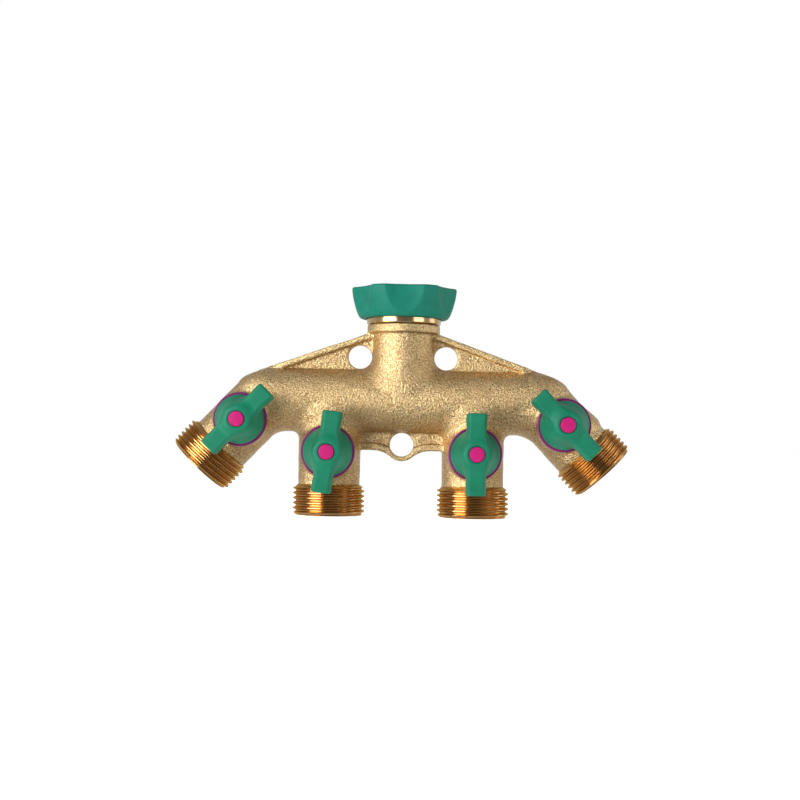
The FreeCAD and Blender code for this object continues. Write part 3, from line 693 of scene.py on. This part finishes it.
make(
    "inlet_nut", np.concatenate([points for points, _ in nut]), all_faces, BRIGHT_BRASS, "inlet_nut",
    ["swivel_nut"], weld=True,
)

points, faces = skin(nut_grip, (-19.8, -19.8, -12.6), (19.8, 19.8, 0.5), voxel=0.33)
make("grip", points, faces, FINISHES["grip_plastic"], "inlet_nut", ["nut_grip"])

CAP = (
    (0, 24.1), (2.7, 24.1), (2.7, 25.55), (2.62, 25.74), (2.45, 25.84), (1.9, 25.91), (1.0, 25.95),
    (0, 25.96),
)
RING = (
    (5.75, 12.6), (9.6, 12.6), (9.75, 12.75), (9.75, 13.45), (9.66, 13.68), (9.45, 13.8), (5.75, 13.8),
)
# piece, its shape, the CAD node it stands for, whether it turns with the valve, and weld
FACE_PIECES = (
    ("lever", skin(lever, (-9.8, -15.2, 13.6), (9.8, 15.2, 25.8), voxel=0.3), "lever", True, False),
    ("cap", lathe(CAP), "cap", True, True),
    ("ring", lathe(RING), "indicator_ring", False, True),
)
for n in VALVES:
    t = math.radians(LEVER_TILT[n])
    arm = np.array((-math.sin(t), 0, -math.cos(t)))
    across = np.cross(arm, OUT)
    for piece, (points, faces), node, turns, weld in FACE_PIECES:
        slot = f"{piece}_plastic"
        make(
            f"{piece}_{n}_moulding", put(points, CENTRE[n], across, arm, OUT), faces, FINISHES[slot],
            f"valve_{n}" if turns else "manifold", [f"{node}_{n}"], weld,
        )


# Floor, light and camera, in metres.

FLOOR_Z, FLOOR_HALF = -0.0838, 6
corners = ((-1, -1), (1, -1), (1, 1), (-1, 1))
floor_mesh = bpy.data.meshes.new("floor")
floor_mesh.from_pydata([(FLOOR_HALF * x, FLOOR_HALF * y, FLOOR_Z) for x, y in corners], [], [(0, 1, 2, 3)])
floor = bpy.data.objects.new("floor", floor_mesh)
bpy.context.scene.collection.objects.link(floor)
floor_finish = bpy.data.materials.new("floor")
floor_finish.use_nodes = True
shader = next(n for n in floor_finish.node_tree.nodes if n.type == "BSDF_PRINCIPLED")
shader.inputs["Base Color"].default_value = (0.85, 0.85, 0.85, 1)
shader.inputs["Roughness"].default_value = 0.9
shader.inputs["Emission Color"].default_value = (1, 1, 1, 1)
shader.inputs["Emission Strength"].default_value = 0.75
floor_mesh.materials.append(floor_finish)
floor.visible_glossy = False

LAMP_AIM = (0, 0, -0.045)


def softbox(name, place, width, height, power):
    light = bpy.data.lights.new(name, "AREA")
    light.shape = "RECTANGLE"
    light.size = width
    light.size_y = height
    light.energy = power
    lamp = bpy.data.objects.new(name, light)
    bpy.context.scene.collection.objects.link(lamp)
    lamp.location = place
    lamp.rotation_euler = (Vector(LAMP_AIM) - Vector(place)).to_track_quat("-Z", "Y").to_euler()
    lamp.visible_camera = False


softbox("key", (-0.58, -0.565, -0.02), 0.58, 1.0, 11.4)
softbox("fill", (0.62, -0.58, 0.085), 0.5, 0.13, 0.55)
softbox("side", (0.87, 0.12, 0.0), 0.34, 0.9, 1.1)
softbox("right", (0.8, -0.28, 0.34), 0.5, 0.36, 1.1)
softbox("top", (-0.2, -0.25, 0.8), 0.8, 0.5, 1.0)

# The room is darker in front than behind and dims upwards. The camera sees plain white.
ROOM_FRONT, ROOM_SIDE, ROOM_BACK = 0.17, 0.42, 0.75
ROOM_LEVEL, ROOM_TOP = 1.0, 0.4

world = bpy.data.worlds.new("studio")
bpy.context.scene.world = world
world.use_nodes = True
nodes, link = world.node_tree.nodes, world.node_tree.links.new
nodes.clear()
split = nodes.new("ShaderNodeSeparateXYZ")
link(nodes.new("ShaderNodeTexCoord").outputs["Generated"], split.inputs[0])
shade = nodes.new("ShaderNodeValToRGB")
stops = shade.color_ramp.elements
stops[0].color = (ROOM_FRONT, ROOM_FRONT, ROOM_FRONT, 1)
stops[1].color = (ROOM_BACK, ROOM_BACK, ROOM_BACK, 1)
stops.new(0.5).color = (ROOM_SIDE, ROOM_SIDE, ROOM_SIDE, 1)
spread = nodes.new("ShaderNodeMapRange")
spread.inputs["From Min"].default_value = -1.0
link(split.outputs["Y"], spread.inputs["Value"])
link(spread.outputs["Result"], shade.inputs["Fac"])
height = nodes.new("ShaderNodeMapRange")
height.inputs["To Min"].default_value = ROOM_LEVEL
height.inputs["To Max"].default_value = ROOM_TOP
link(split.outputs["Z"], height.inputs["Value"])
around = nodes.new("ShaderNodeBackground")
link(shade.outputs["Color"], around.inputs["Color"])
link(height.outputs["Result"], around.inputs["Strength"])
white = nodes.new("ShaderNodeBackground")
white.inputs["Color"].default_value = (1, 1, 1, 1)
choose = nodes.new("ShaderNodeMixShader")
link(nodes.new("ShaderNodeLightPath").outputs["Is Camera Ray"], choose.inputs[0])
link(around.outputs[0], choose.inputs[1])
link(white.outputs[0], choose.inputs[2])
link(choose.outputs[0], nodes.new("ShaderNodeOutputWorld").inputs["Surface"])

CAMERA_PLACE = Vector((-0.0009, -0.507, -0.055))
CAMERA_AIM = Vector((-0.0009, 0.0, -0.0411))
CAMERA_ROLL = math.radians(1.11)

camera_data = bpy.data.cameras.new("camera")
camera_data.sensor_width = 36
camera_data.lens = 61.9
camera = bpy.data.objects.new("camera", camera_data)
bpy.context.scene.collection.objects.link(camera)
camera.location = CAMERA_PLACE
camera.rotation_mode = "QUATERNION"
facing = (CAMERA_AIM - CAMERA_PLACE).to_track_quat("-Z", "Y")
camera.rotation_quaternion = facing @ Quaternion((0, 0, 1), CAMERA_ROLL)
bpy.context.scene.camera = camera
bpy.context.scene.view_settings.view_transform = "Standard"
